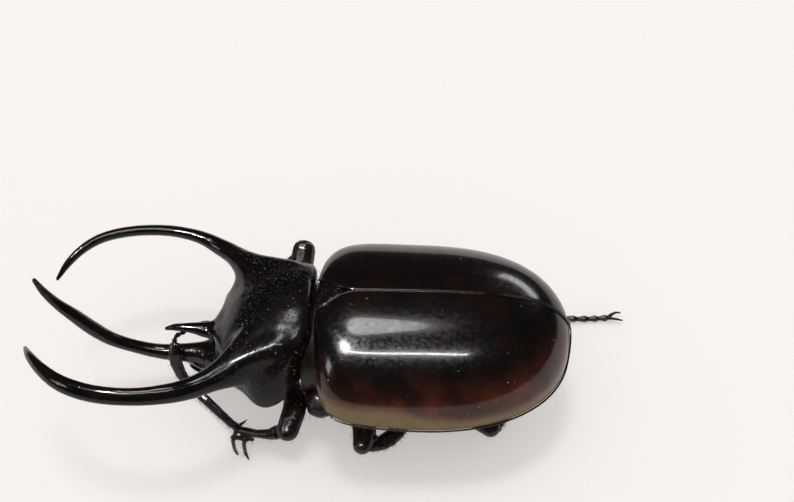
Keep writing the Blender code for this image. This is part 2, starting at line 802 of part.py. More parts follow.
def horn_stub(name):
    """The part of a horn that belongs to the piece it grows from, a little too long."""
    points, sides, count, broad, share = horn_table()[name]
    return sweep(points, sides, count, broad, share=(0.0, share + STUB_SHARE), ends=(True, False))


def stub_end(name, width):
    """A block that takes away whatever lies beyond a horn's root plane."""
    start, along = root_plane(name)
    broad = Vector((0, 0, 1))
    rings = [ring(start + along * reach, along, broad, width, width, 4) for reach in (0.0, STUB_BLOCK)]
    return loft(rings)


def bisect(thing, point, normal):
    """Takes away what lies on the far side of a plane and closes the cut."""
    bm = bmesh.new()
    bm.from_mesh(thing.data)
    everything = bm.verts[:] + bm.edges[:] + bm.faces[:]
    result = bmesh.ops.bisect_plane(
        bm, geom=everything, plane_co=point, plane_no=normal, clear_outer=True)
    edges = [item for item in result["geom_cut"] if isinstance(item, bmesh.types.BMEdge)]
    bmesh.ops.edgenet_fill(bm, edges=edges)
    bmesh.ops.recalc_face_normals(bm, faces=bm.faces)
    bm.to_mesh(thing.data)
    bm.free()


def horns(finish):
    """Each horn from its root on, trimmed so that it keeps the gap to its stub."""
    for name, (points, sides, count, broad, share) in horn_table().items():
        horn = new_object(
            name, sweep(points, sides, count, broad, share=(share, 1.0), ends=(False, True)), finish)
        start, along = root_plane(name)
        bisect(horn, (start + along * GAP) * MM, -along)


def pronotum(finish):
    stations = smooth_path(PRONOTUM_STATIONS, 15)
    rings = [pronotum_ring(stations[0], HIND_FACE_FLATNESS)]
    rings.extend(pronotum_ring(station) for station in stations)
    pieces = [loft(rings), horn_stub("horn_pronotum_middle")]
    ends = [stub_end("horn_pronotum_middle", 3.0)]
    for name, side in SIDES.items():
        pieces.append(horn_stub(f"horn_pronotum_{name}"))
        pieces.append(sweep(on_side(HORN_RIDGE, side), 10, 8, Vector((0, 0.5 * side, 1))))
        pieces.append(sweep(on_side(FRONT_APRON, side), 10, 9, FRONT_SLOPE))
        ends.append(stub_end(f"horn_pronotum_{name}", 4.5))
    thing = join("pronotum", pieces, finish)
    blend(thing, 0.4, 11, 1000)
    hollow = ellipsoid(*FRONT_HOLLOW, 20, 12)
    neck = loft(head_rings(grow=0.45))
    cut(thing, [hollow, neck, *ends])
    return thing


def eye_ball(side, grow=0.0):
    centre = Vector((EYE_CENTRE.x, EYE_CENTRE.y * side, EYE_CENTRE.z))
    return ellipsoid(centre, [EYE_RADIUS + grow] * 3, 12, 8)


def head(finish):
    pieces = [loft(head_rings()), horn_stub("horn_head")]
    for side in SIDES.values():
        brow = (
            (-18.6, 3.0 * side, 6.6, 0.9, 0.5),
            (-17.9, 4.5 * side, 6.7, 0.7, 0.4),
            (-16.9, 5.3 * side, 6.7, 0.4, 0.3),
        )
        pieces.append(sweep(brow, 8, 7, Vector((1, 0, 0))))
        lip = ((-21.1, 0.7 * side, 5.4, 0.7, 0.6), (-22.3, 0.7 * side, 5.4, 0.5, 0.4))
        pieces.append(sweep(lip, 8, 4, Vector((0, 1, 0))))
    thing = join("head", pieces, finish)
    blend(thing, 0.25, 5, 680)
    cut(thing, [stub_end("horn_head", 3.0)])
    for side in SIDES.values():
        cut(thing, [eye_ball(side, GAP)])


def eyes(finish):
    for name, side in SIDES.items():
        new_object(f"eye_{name}", eye_ball(side), finish)


def mandibles(finish):
    for name, side in SIDES.items():
        path = (
            (-18.8, 1.1 * side, 3.0, 0.6, 0.5),
            (-20.2, 1.1 * side, 3.3, 0.55, 0.5),
            (-21.3, 0.95 * side, 3.8, 0.45, 0.4),
            (-22.2, 0.6 * side, 4.2, 0.28, 0.28),
        )
        thing = new_object(f"mandible_{name}", sweep(path, 6, 7, Vector((0, 1, 0))), finish)
        cut(thing, [loft(head_rings(grow=GAP))])


def antennae(finish):
    """A bent stalk that ends in a club of three leaves."""
    for name, side in SIDES.items():
        stalk = (
            (-16.9, 2.1 * side, 4.2, 0.45, 0.45),
            (-17.5, 2.7 * side, 3.1, 0.34, 0.34),
            (-16.7, 2.8 * side, 2.3, 0.32, 0.32),
            (-15.2, 2.5 * side, 2.3, 0.36, 0.36),
        )
        pieces = [sweep(stalk, 6, 7)]
        for leaf in (-1, 0, 1):
            root = Vector((-15.6 + 0.07 * leaf, (2.43 + 0.05 * leaf) * side, 2.3 + 0.03 * leaf))
            tip = Vector((-13.2 + 0.2 * leaf, (2.2 + 0.6 * leaf) * side, 2.4 + 0.05 * leaf))
            rows = [(*(root.lerp(tip, t)), tall, 0.27) for t, tall in ((0, 0.35), (0.5, 0.5), (1, 0.35))]
            pieces.append(sweep(rows, 5, 4, Vector((0, 0.1 * leaf, 1))))
        thing = join(f"antenna_{name}", pieces, finish)
        cut(thing, [loft(head_rings(grow=GAP))])


def coxa_and_femur(leg, grow=0.0):
    """The meshes of one leg's coxa and femur, as they are or fattened to cut their sockets."""
    x, y, z = leg["coxa"]
    radii = (COXA_RADIUS + grow, COXA_HALF_LENGTH + grow, COXA_RADIUS + grow)
    coxa = ellipsoid((x, y, z), radii, 9, 6)
    femur = sweep(leg["femur"], 9, 7, Vector((1, 0, 0)), grow)
    return coxa, femur


def along_path(points, share, count=40):
    path = smooth_path(points, count)
    i = round(share * (count - 1))
    return Vector(path[i][:3])


def foot(name, leg, finish, cutters):
    """Five short segments and a pair of hooked claws."""
    count = FOOT_SEGMENTS * len(FOOT_SWELL) + 1
    rows = smooth_path(leg["tarsus"], count)
    stations = []
    for i, row in enumerate(rows):
        size = FOOT_SWELL[i % len(FOOT_SWELL)] * leg.get("foot_size", 1.0)
        stations.append((*row, size, size))
    pieces = [sweep(stations, 6, count)]
    end = Vector(rows[-1])
    ahead = Vector(leg["claws"]).normalized()
    spread = ahead.cross(Vector((0, 0, 1))).normalized()
    arch = Vector((0, 0, 0.25))
    for fork in (1, -1):
        root = end - ahead * 0.2
        bend = end + ahead * CLAW_LENGTH * 0.5 + spread * fork * 0.75 + arch
        tip = end + ahead * CLAW_LENGTH + spread * fork * 0.9 - arch
        claw = ((*root, 0.42, 0.42), (*bend, 0.32, 0.3), (*tip, 0.2, 0.2))
        pieces.append(sweep(claw, 4, 4))
    thing = join(f"tarsus_{name}", pieces, finish)
    cut(thing, cutters)
    flatten_base(thing)


def shin_meshes(leg, grow=0.0):
    """A tibia with its teeth, spurs and hooks, as they are or fattened."""
    broad = Vector(leg.get("broad", (0, 0, 1)))
    rings_count = len(leg["tibia"]) + TIBIA_EXTRA_RINGS
    meshes = [sweep(leg["tibia"], 8, rings_count, broad, grow)]
    for share, direction, length in leg["teeth"]:
        root = along_path(leg["tibia"], share)
        meshes.append(cone(root, direction, TOOTH_RADIUS + grow, length + TOOTH_RADIUS))
    for hook in leg.get("hooks", ()):
        meshes.append(sweep(hook, 5, len(hook), grow=grow))
    return meshes


def shin(name, leg, finish, cutter):
    thing = join(f"tibia_{name}", shin_meshes(leg), finish)
    cut(thing, [cutter])
    flatten_base(thing)


def legs(finish, body_nodes):
    """Coxae sit in sockets, and each later piece is hollowed to fit the end before it."""
    for name, leg in LEGS.items():
        coxa_mesh, femur_mesh = coxa_and_femur(leg)
        for body in body_nodes:
            if near(body, leg):
                cut(body, coxa_and_femur(leg, GAP))
        new_object(f"coxa_{name}", coxa_mesh, finish)
        femur = new_object(f"femur_{name}", femur_mesh, finish)
        fat_coxa, fat_femur = coxa_and_femur(leg, GAP)
        cut(femur, [fat_coxa])
        shin(name, leg, finish, fat_femur)
        foot(name, leg, finish, shin_meshes(leg, GAP))


def flatten_base(thing):
    """Gives whatever dips below the resting surface a small flat on it."""
    if min(corner[2] for corner in thing.bound_box) < 0:
        bisect(thing, (0, 0, 0), (0, 0, -1))


def near(body, leg):
    """Whether a body node reaches the x range of a leg's coxa or femur."""
    low = min(corner[0] for corner in body.bound_box) / MM
    high = max(corner[0] for corner in body.bound_box) / MM
    xs = [leg["coxa"][0] - COXA_RADIUS, leg["coxa"][0] + COXA_RADIUS, *(row[0] for row in leg["femur"])]
    return min(xs) - 2.5 < high and max(xs) + 2.5 > low


def stand_on_origin():
    """Centres the finished beetle over the origin."""
    things = [thing for thing in bpy.context.scene.objects if thing.type == "MESH"]
    xs = [vert.co.x for thing in things for vert in thing.data.vertices]
    ys = [vert.co.y for thing in things for vert in thing.data.vertices]
    zs = [vert.co.z for thing in things for vert in thing.data.vertices]
    middle = Vector(((min(xs) + max(xs)) / 2, (min(ys) + max(ys)) / 2, min(zs)))
    for thing in things:
        thing.data.transform(Matrix.Translation(-middle))


def main():
    for thing in list(bpy.data.objects):
        bpy.data.objects.remove(thing)
    black = (0.012, 0.011, 0.010)
    shell_finish = material("glossy black wing case", (0.014, 0.010, 0.008), 0.12)
    horn_finish = material("polished black horn", black, 0.16)
    pronotum_finish = material("punctured black shield", black, 0.24)
    belly_finish = material("brown black underside", (0.020, 0.012, 0.008), 0.34)
    leg_finish = material("black leg", (0.014, 0.010, 0.008), 0.26)
    eye_finish = material("dark eye", (0.03, 0.018, 0.010), 0.2)
    feeler_finish = material("red brown feeler", (0.06, 0.022, 0.010), 0.4)

    wing_cases(shell_finish)
    scutellum(pronotum_finish)
    head(pronotum_finish)
    eyes(eye_finish)
    mandibles(horn_finish)
    antennae(feeler_finish)
    front = pronotum(pronotum_finish)
    horns(horn_finish)
    bodies = [front, thorax_underside(belly_finish), abdomen(belly_finish)]
    pygidium(belly_finish)
    legs(leg_finish, bodies)
    stand_on_origin()


main()
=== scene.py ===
import json
import random
from math import pi, radians

import bpy
from mathutils import Matrix, Vector

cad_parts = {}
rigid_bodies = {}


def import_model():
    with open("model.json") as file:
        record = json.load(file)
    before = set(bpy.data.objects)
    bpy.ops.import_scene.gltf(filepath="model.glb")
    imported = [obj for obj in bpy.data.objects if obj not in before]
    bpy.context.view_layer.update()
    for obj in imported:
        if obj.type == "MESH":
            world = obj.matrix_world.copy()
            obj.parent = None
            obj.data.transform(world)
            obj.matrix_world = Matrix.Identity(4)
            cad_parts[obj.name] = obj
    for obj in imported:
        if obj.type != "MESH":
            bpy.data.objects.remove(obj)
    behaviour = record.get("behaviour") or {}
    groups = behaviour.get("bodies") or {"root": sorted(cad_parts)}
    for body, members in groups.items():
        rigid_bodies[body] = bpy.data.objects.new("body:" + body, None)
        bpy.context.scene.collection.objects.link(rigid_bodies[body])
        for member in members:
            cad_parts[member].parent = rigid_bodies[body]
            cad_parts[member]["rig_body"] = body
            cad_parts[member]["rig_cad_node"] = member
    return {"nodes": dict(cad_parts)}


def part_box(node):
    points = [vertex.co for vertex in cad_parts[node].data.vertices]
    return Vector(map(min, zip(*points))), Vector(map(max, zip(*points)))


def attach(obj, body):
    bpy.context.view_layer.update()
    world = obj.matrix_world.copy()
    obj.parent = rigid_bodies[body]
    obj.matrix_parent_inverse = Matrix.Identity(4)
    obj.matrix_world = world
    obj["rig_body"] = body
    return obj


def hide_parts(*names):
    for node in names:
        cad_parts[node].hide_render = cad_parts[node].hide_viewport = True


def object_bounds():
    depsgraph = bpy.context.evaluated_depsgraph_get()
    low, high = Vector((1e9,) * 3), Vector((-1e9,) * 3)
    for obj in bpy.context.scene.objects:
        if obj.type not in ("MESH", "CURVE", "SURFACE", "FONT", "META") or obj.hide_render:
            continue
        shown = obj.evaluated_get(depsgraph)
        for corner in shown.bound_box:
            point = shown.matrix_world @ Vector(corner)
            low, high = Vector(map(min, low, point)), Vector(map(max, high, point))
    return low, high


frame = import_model()
cadBox = [list(corner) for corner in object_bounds()]
nodes = frame["nodes"]
mm = 0.001
sideNames = {"left": -1, "right": 1}
legNames = [f"{pair}_{side}" for pair in ("fore", "middle", "hind") for side in sideNames]

# The waist between shield and wing cases, at floor level. Places below are measured from here.
aheadOfCases = 0.3 * mm
waist = Vector((
    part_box("elytron_left")[0].x - aheadOfCases,
    (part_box("elytron_left")[0].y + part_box("elytron_right")[1].y) / 2,
    0,
))


# Working by hand: selecting, edit mode and modifiers.

handWork = {
    "same corner": 0.002 * mm,  # corners of a CAD node nearer than this are one
    "smooth below": radians(60),  # faces that meet at less than this are shaded as one
    "smoothing": 0.5,
}


def deselectAll():
    if bpy.context.object and bpy.context.object.mode != "OBJECT":
        bpy.ops.object.mode_set(mode="OBJECT")
    bpy.ops.object.select_all(action="DESELECT")


def pick(*things):
    deselectAll()
    for thing in things:
        thing.select_set(True)
    bpy.context.view_layer.objects.active = things[0]


def edit(thing, selectMode="VERT"):
    pick(thing)
    bpy.ops.object.mode_set(mode="EDIT")
    bpy.ops.mesh.select_mode(type=selectMode)


def done():
    bpy.ops.object.mode_set(mode="OBJECT")


def modify(thing, kind, **settings):
    pick(thing)
    modifier = thing.modifiers.new(kind.title(), kind)
    for name, value in settings.items():
        setattr(modifier, name, value)
    bpy.ops.object.modifier_apply(modifier=modifier.name)


def subdivide(thing, levels):
    modify(thing, "SUBSURF", levels=levels, render_levels=levels)


def reskin(thing, voxel):
    modify(thing, "REMESH", mode="VOXEL", voxel_size=voxel)


def smooth(thing, rounds, group=""):
    modify(thing, "SMOOTH", factor=handWork["smoothing"], iterations=rounds, vertex_group=group)


def settle(thing):
    # The object goes to the origin, unturned and unscaled, and its place into its mesh.
    pick(thing)
    bpy.ops.object.transform_apply(location=True, rotation=True, scale=True)


def facesOut(thing):
    edit(thing)
    bpy.ops.mesh.select_all(action="SELECT")
    bpy.ops.mesh.normals_make_consistent(inside=False)
    done()


def copyNode(name):
    # A copy of a CAD node with its doubles merged, to be made finer.
    twin = nodes[name].copy()
    twin.data = nodes[name].data.copy()
    twin.parent = None
    twin.matrix_world = Matrix.Identity(4)
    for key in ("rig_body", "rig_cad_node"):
        del twin[key]
    bpy.context.scene.collection.objects.link(twin)
    edit(twin)
    bpy.ops.mesh.customdata_custom_splitnormals_clear()
    bpy.ops.mesh.select_all(action="SELECT")
    bpy.ops.mesh.remove_doubles(threshold=handWork["same corner"])
    done()
    return twin


def placeCopy(thing, place):
    # A copy with a mesh of its own, put where the matrix says.
    one = thing.copy()
    one.data = thing.data.copy()
    bpy.context.scene.collection.objects.link(one)
    one.matrix_world = place
    return one


def join(things):
    pick(*things)
    bpy.ops.object.join()
    return bpy.context.object


def finishPiece(thing, name, material, replaced=()):
    thing.name = name
    thing.data.name = name
    thing.data.materials.clear()
    thing.data.materials.append(material)
    pick(thing)
    bpy.ops.object.shade_smooth_by_angle(angle=handWork["smooth below"])
    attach(thing, "root")
    if replaced:
        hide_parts(*replaced)


# Materials. A Wave is a socket that takes part in sums.

class Wave:
    def __init__(self, maker, socket):
        self.maker = maker
        self.socket = socket

    def __add__(self, other):
        return self.maker.maths("ADD", self, other)

    def __radd__(self, other):
        return self.maker.maths("ADD", other, self)

    def __sub__(self, other):
        return self.maker.maths("SUBTRACT", self, other)

    def __rsub__(self, other):
        return self.maker.maths("SUBTRACT", other, self)

    def __mul__(self, other):
        return self.maker.maths("MULTIPLY", self, other)

    def __rmul__(self, other):
        return self.maker.maths("MULTIPLY", other, self)


class NodeMaker:
    def __init__(self, tree):
        self.tree = tree

    def node(self, kind, settings=None, inputs=None, output=0):
        made = self.tree.nodes.new(kind)
        for key, value in (settings or {}).items():
            setattr(made, key, value)
        for key, value in (inputs or {}).items():
            self.feed(made.inputs[key], value)
        return Wave(self, made.outputs[output])

    def feed(self, socket, value):
        if isinstance(value, Wave):
            self.tree.links.new(value.socket, socket)
        else:
            socket.default_value = value

    def maths(self, operation, first, second):
        return self.node("ShaderNodeMath", {"operation": operation}, {0: first, 1: second})


# Painted glints: tiny bright points painted into the colour, one in some of the cells, standing in for
# light caught by a puncture.
paintedGlintLook = {
    "size": (0.05, 0.14),  # full up to the first, gone by the second, in cells from a painted glint's middle
    "patches": 0.45,  # patches of cells with painted glints, for each cell
    "patch detail": 1,
    "chosen": (0.62, 0.70),  # the patch noise where painted glints start and are full, for a share of 0
    "share lowers": 0.2,  # how far a share of 1 brings those down
    "colour": (0.36, 0.345, 0.33),
}


class FinishMaker(NodeMaker):
    def __init__(self, name, **constants):
        self.material = bpy.data.materials.new(name)
        self.material.use_nodes = True
        super().__init__(self.material.node_tree)
        self.shader = self.tree.nodes["Principled BSDF"]
        for socket, value in constants.items():
            self.shader.inputs[socket.replace("_", " ")].default_value = value

    def place(self):
        return self.node("ShaderNodeTexCoord", output="Object")

    def along(self, axis):
        # The point's own place along an axis, in metres: 0 to the tail, 1 to the right, 2 up.
        return self.node("ShaderNodeSeparateXYZ", None, {0: self.place()}, output=axis)

    def noise(self, perMetre, detail=3.0, roughness=0.55, stretch=None):
        where = self.place()
        if stretch:
            where = self.node("ShaderNodeMapping", None, {"Vector": where, "Scale": stretch})
        return self.node(
            "ShaderNodeTexNoise", None,
            {"Vector": where, "Scale": perMetre, "Detail": detail, "Roughness": roughness})

    def cells(self, perMetre, randomness=1.0):
        return self.node(
            "ShaderNodeTexVoronoi", None,
            {"Vector": self.place(), "Scale": perMetre, "Randomness": randomness}, output="Distance")

    def between(self, value, low, high, fromLow=0.0, fromHigh=1.0):
        # The value spread from low to high, eased at both ends.
        return self.node(
            "ShaderNodeMapRange", {"interpolation_type": "SMOOTHSTEP"},
            {"Value": value, "From Min": fromLow, "From Max": fromHigh, "To Min": low, "To Max": high})

    def clouds(self, perMetre, detail, share, starts, full):
        # Patches from 0 up to a share, which start and are full at these levels of the noise.
        return self.between(self.noise(perMetre, detail), 0.0, share, starts, full)

    def uneven(self, perMetre, low, high, detail=3.0):
        # A value that wanders from low to high. Most of a noise lies between 0.3 and 0.7.
        return self.between(self.noise(perMetre, detail), low, high, 0.3, 0.7)

    def pits(self, perMetre, floor, rim):
        # Punctures, one in each cell: 0 on their floor, and 1 from their rim outwards.
        return self.between(self.cells(perMetre), 0.0, 1.0, floor, rim)

    def ripple(self, perMetre):
        # The soft unevenness of a whole skin.
        return self.noise(perMetre, roughness=0.5)

    def blend(self, share, first, second):
        return self.node(
            "ShaderNodeMix", {"data_type": "RGBA"},
            {"Factor": share, 6: (*first, 1) if isinstance(first, tuple) else first,
             7: (*second, 1) if isinstance(second, tuple) else second}, output=2)

    def paintedGlints(self, perMetre, share, colour, where=1.0):
        # Bright points painted into the base colour: painted glints in place of light caught by punctures.
        look = paintedGlintLook
        points = self.between(self.cells(perMetre), 1.0, 0.0, *look["size"])
        patches = self.noise(perMetre * look["patches"], look["patch detail"])
        starts, full = (level - share * look["share lowers"] for level in look["chosen"])
        chosen = self.between(patches, 0.0, 1.0, starts, full)
        return self.blend(points * chosen * where, colour, look["colour"])

    def bump(self, *layers):
        # Each layer is a height from 0 to 1 and its depth in metres.
        normal = None
        for layer, depth in layers:
            inputs = {"Height": layer, "Distance": depth, "Strength": 1.0}
            if normal:
                inputs["Normal"] = normal
            normal = self.node("ShaderNodeBump", None, inputs)
        self.feed(self.shader.inputs["Normal"], normal)

    def wear(self, socket, value):
        self.feed(self.shader.inputs[socket], value)


# In the looks below, clouds, roughness, pits, ripple and painted glints begin with how many there are in a
# metre.
# Clouds go on with their detail, their share of the second colour, and the noise levels where they start
# and are full. Roughness goes on with its lowest and highest, pits with their floor and rim in cells, and
# painted glints with their share.

wingCaseLook = {
    "black": (0.0024, 0.0019, 0.0019),
    "red brown": (0.085, 0.017, 0.007),
    # Low on the flank the colour turns olive: partly the case's own olive tone, partly a painted
    # reflection of the pale floor.
    "olive and painted reflection colour": (0.118, 0.082, 0.030),
    "olive and painted reflection height": (12.8 * mm, 15.0 * mm),
    "olive and painted reflection widens": (10 * mm, 24 * mm),  # from the waist: ahead of this the olive band with its painted floor reflection is wider
    "olive and painted reflection wider by": 2.2 * mm,
    "olive and painted reflection patches": 420,
    "olive and painted reflection gains": 0.9,  # how much a patch adds to the olive band with its painted floor reflection
    "olive and painted reflection keeps": 0.35,  # and how much is there without one
    "warm height": (13.5 * mm, 21.0 * mm),
    "warm in clouds": 0.6,
    "warm between": 0.3,
    "warm on top": 0.05,
    "clouds": (230, 4, 1.0, 0.42, 0.66),
    "paintedGlints": (900, 0.1),
    "roughness": (1500, 0.13, 0.22),
    "coat patches": 420,
    "coat": (0.45, 0.25, 0.35, 0.7),  # its most and least, and the noise levels for them
    "pits": (2300, 0.10, 0.26),
    "pit depth": 0.006 * mm,
    "ripple": 330,
    "ripple depth": 0.012 * mm,
}


def makeWingCaseFinish():
    look = wingCaseLook
    make = FinishMaker("wing_case_gloss", Coat_Roughness=0.05, Coat_IOR=1.5, IOR=1.42)
    height = make.along(2)
    clouds = make.clouds(*look["clouds"])
    low = make.between(height, 1.0, 0.0, *look["warm height"])
    warm = low * (clouds * look["warm in clouds"] + look["warm between"]) + clouds * look["warm on top"]
    colour = make.blend(warm, look["black"], look["red brown"])
    # The olive band along the lower margin is partly the case's own olive tone and partly a painted
    # reflection of the floor.
    ahead, behind = (place + waist.x for place in look["olive and painted reflection widens"])
    wider = make.between(make.along(0), look["olive and painted reflection wider by"], 0.0, ahead, behind)
    patches = make.noise(look["olive and painted reflection patches"]) * look["olive and painted reflection gains"] + look["olive and painted reflection keeps"]
    edge = make.between(height - wider, 1.0, 0.0, *look["olive and painted reflection height"]) * patches
    colour = make.blend(edge, colour, look["olive and painted reflection colour"])
    # The base colour gets painted glints: bright points standing in for light caught by punctures.
    make.wear("Base Color", make.paintedGlints(*look["paintedGlints"], colour))
    make.wear("Roughness", make.uneven(*look["roughness"]))
    make.wear("Coat Weight", make.between(make.noise(look["coat patches"]), *look["coat"]))
    pits = make.pits(*look["pits"])
    make.bump((pits, look["pit depth"]), (make.ripple(look["ripple"]), look["ripple depth"]))
    return make.material


shieldLook = {
    "black": (0.0022, 0.0019, 0.0018),
    "brown": (0.0075, 0.0042, 0.0030),
    "horn starts": (-17.0 * mm, -13.5 * mm),  # from the waist: ahead of this the skin is polished horn
    "clouds": (240, 4, 0.7, 0.4, 0.7),
    "paintedGlints": (1500, 0.65),
    "horn roughness": (900, 0.10, 0.18),
    "body rougher by": 0.08,
    "horn coat": 0.35,
    "body coat less by": 0.25,
    "pits": (2100, 0.10, 0.32),
    "pit depth": 0.065 * mm,
    "pit patches": (160, 2),  # in a metre, and their detail
    "pit strength": (0.6, 1.2, 0.35, 0.6),  # its least and most, and the noise levels for them
    "horn pits": 0.1,
    "body pits add": 0.9,
    "ripple": 420,
    "ripple depth": 0.006 * mm,
}


def makeShieldFinish():
    look = shieldLook
    make = FinishMaker(
        "shield_punctured", Coat_Roughness=0.06, Coat_IOR=1.5, IOR=1.38, Specular_IOR_Level=0.38)
    ahead, behind = (place + waist.x for place in look["horn starts"])
    body = make.between(make.along(0), 0.0, 1.0, ahead, behind)
    make.wear("Coat Weight", look["horn coat"] - body * look["body coat less by"])
    colour = make.blend(make.clouds(*look["clouds"]), look["black"], look["brown"])
    # The body's base colour gets painted glints: bright points standing in for light caught by punctures.
    make.wear("Base Color", make.paintedGlints(*look["paintedGlints"], colour, body))
    make.wear("Roughness", make.uneven(*look["horn roughness"]) + body * look["body rougher by"])
    strength = make.between(make.noise(*look["pit patches"]), *look["pit strength"])
    pits = make.pits(*look["pits"]) * (strength * (body * look["body pits add"] + look["horn pits"]))
    make.bump((pits, look["pit depth"]), (make.ripple(look["ripple"]), look["ripple depth"]))
    return make.material


hornLook = {
    "black": (0.0026, 0.0021, 0.0020),
    "brown": (0.013, 0.0065, 0.0040),
    "streaks": (900, 4, 0.6, (0.15, 1.0, 1.0)),  # in a metre, detail, roughness, and drawn out along X
    "brown streaks": (0.0, 0.7, 0.45, 0.75),  # least and most brown, and the noise levels for them
    "roughness": (0.12, 0.24, 0.3, 0.7),  # lowest and highest, and the noise levels for them
    "pits": (2300, 0.10, 0.25),
    "pit depth": 0.008 * mm,
    "ripple": 600,
    "ripple depth": 0.008 * mm,
}


def makeHornFinish():
    look = hornLook
    make = FinishMaker("horn_polished", Coat_Roughness=0.05, Coat_IOR=1.5, IOR=1.42, Coat_Weight=0.45)
    streaks = make.noise(*look["streaks"])
    brown = make.between(streaks, *look["brown streaks"])
    make.wear("Base Color", make.blend(brown, look["black"], look["brown"]))
    make.wear("Roughness", make.between(streaks, *look["roughness"]))
    pits = make.pits(*look["pits"])
    make.bump((pits, look["pit depth"]), (make.ripple(look["ripple"]), look["ripple depth"]))
    return make.material


legLook = {
    "black": (0.0034, 0.0027, 0.0025),
    "brown": (0.022, 0.0085, 0.0045),
    "coat": 0.35,
    "coat roughness": 0.08,
    "clouds": (420, 4, 0.8, 0.45, 0.75),
    "paintedGlints": (1700, 0.3),
    "roughness": (1300, 0.18, 0.36),
    "pits": (2300, 0.12, 0.36),
    "pit depth": 0.035 * mm,
    "ripple": 1100,
    "ripple depth": 0.014 * mm,
}
bellyLook = {
    "black": (0.0035, 0.0026, 0.0022),
    "brown": (0.017, 0.0075, 0.0045),
    "coat": 0.2,
    "coat roughness": 0.14,
    "clouds": (300, 4, 0.9, 0.38, 0.7),
    "roughness": (1200, 0.26, 0.46),
    "pits": (1900, 0.12, 0.36),
    "pit depth": 0.05 * mm,
    "ripple": 800,
    "ripple depth": 0.03 * mm,
}


def makeDullFinish(name, look):
    # The dull punctured skin of the legs and the underside, of which only the legs get painted glints.
    make = FinishMaker(
        name, Coat_Weight=look["coat"], Coat_Roughness=look["coat roughness"], Coat_IOR=1.5, IOR=1.42)
    colour = make.blend(make.clouds(*look["clouds"]), look["black"], look["brown"])
    if "paintedGlints" in look:
        # The legs' base colour gets painted glints: bright points standing in for light caught by
        # punctures.
        colour = make.paintedGlints(*look["paintedGlints"], colour)
    make.wear("Base Color", colour)
    make.wear("Roughness", make.uneven(*look["roughness"]))
    pits = make.pits(*look["pits"])
    make.bump((pits, look["pit depth"]), (make.ripple(look["ripple"]), look["ripple depth"]))
    return make.material


eyeLook = {
    "dark": (0.012, 0.007, 0.005),
    "light": (0.04, 0.020, 0.010),
    "clouds": (900, 2, 1.0, 0.4, 0.7),
    "facets": (9500, 0.25),  # in a metre, and how irregular they are
    "roughness": (0.12, 0.34, 0.1, 0.5),  # in a facet's middle and at its rim, and where those are
    "facet height": 0.012 * mm,
}


def makeEyeFinish():
    look = eyeLook
    make = FinishMaker("eye_facets", Coat_Roughness=0.05, Coat_IOR=1.5, IOR=1.5, Coat_Weight=0.7)
    facets = make.cells(*look["facets"])
    make.wear("Base Color", make.blend(make.clouds(*look["clouds"]), look["dark"], look["light"]))
    make.wear("Roughness", make.between(facets, *look["roughness"]))
    make.bump((1 - facets, look["facet height"]))
    return make.material


feelerLook = {
    "dark": (0.032, 0.011, 0.006),
    "light": (0.10, 0.036, 0.014),
    "clouds": (1100, 3, 1.0, 0.4, 0.7),
    "roughness": (1500, 0.3, 0.5),
    "grain": (2600, 2),  # in a metre, and its detail
    "grain depth": 0.012 * mm,
}


def makeFeelerFinish():
    look = feelerLook
    make = FinishMaker("feeler_red_brown", Coat_Roughness=0.15, Coat_IOR=1.5, IOR=1.5, Coat_Weight=0.3)
    make.wear("Base Color", make.blend(make.clouds(*look["clouds"]), look["dark"], look["light"]))
    make.wear("Roughness", make.uneven(*look["roughness"]))
    make.bump((make.noise(*look["grain"]), look["grain depth"]))
    return make.material


hairLook = {
    "clouds": (900, 2, 1.0, 0.35, 0.7),
    "roughness": (1500, 0.35, 0.55, 2),  # the last is its detail
    "rust": ((0.055, 0.020, 0.008), (0.20, 0.085, 0.030)),
    "dark brown": ((0.010, 0.005, 0.003), (0.050, 0.020, 0.009)),
}


def makeHairFinish(name, dark, light):
    make = FinishMaker(name, Coat_Weight=0.0)
    make.wear("Base Color", make.blend(make.clouds(*hairLook["clouds"]), dark, light))
    make.wear("Roughness", make.uneven(*hairLook["roughness"]))
    return make.material


wingCaseFinish = makeWingCaseFinish()
shieldFinish = makeShieldFinish()
hornFinish = makeHornFinish()
legFinish = makeDullFinish("leg_punctured", legLook)
bellyFinish = makeDullFinish("belly_brown_black", bellyLook)
eyeFinish = makeEyeFinish()
feelerFinish = makeFeelerFinish()
rustHairFinish = makeHairFinish("hair_rust", *hairLook["rust"])
bristleFinish = makeHairFinish("bristle_dark_brown", *hairLook["dark brown"])
print("materials made")


# Wing cases, each with a thin raised bead round its rim

wingCase = {
    "quads below": radians(70),  # triangles that meet at less than this become quads
    "rim rounding": 0.22 * mm,
    "rim steps": 2,
    "rim sharper than": radians(50),
    "fineness": 2,
    "bead radius": 0.16 * mm,
    "bead sides": 2,
    "bead steps": 4,
    "bead order": 4,
    "bead stands out": 1.006,  # the bead's line is this much wider than the rim's own
    "bead turn": radians(45),  # the surface turns by more than this at the rim
    "outside faces": 0.55,  # how squarely the outside faces away from the axis there, at least
    "strip faces": -0.6,  # and the thin edge strip
    "axis height": 6 * mm,  # the outside of a case faces away from a line at this height
    "axis end": 16 * mm,  # that line stops this far before the tail
}


def makeWingCase(side):
    case = copyNode(f"elytron_{side}")
    edit(case)
    bpy.ops.mesh.select_all(action="SELECT")
    bpy.ops.mesh.tris_convert_to_quads(
        face_threshold=wingCase["quads below"], shape_threshold=wingCase["quads below"])
    done()
    modify(case, "BEVEL", width=wingCase["rim rounding"], segments=wingCase["rim steps"],
           limit_method="ANGLE", angle_limit=wingCase["rim sharper than"], use_clamp_overlap=True)
    subdivide(case, wingCase["fineness"])
    finishPiece(case, f"wing_case_{side}", wingCaseFinish, [f"elytron_{side}"])


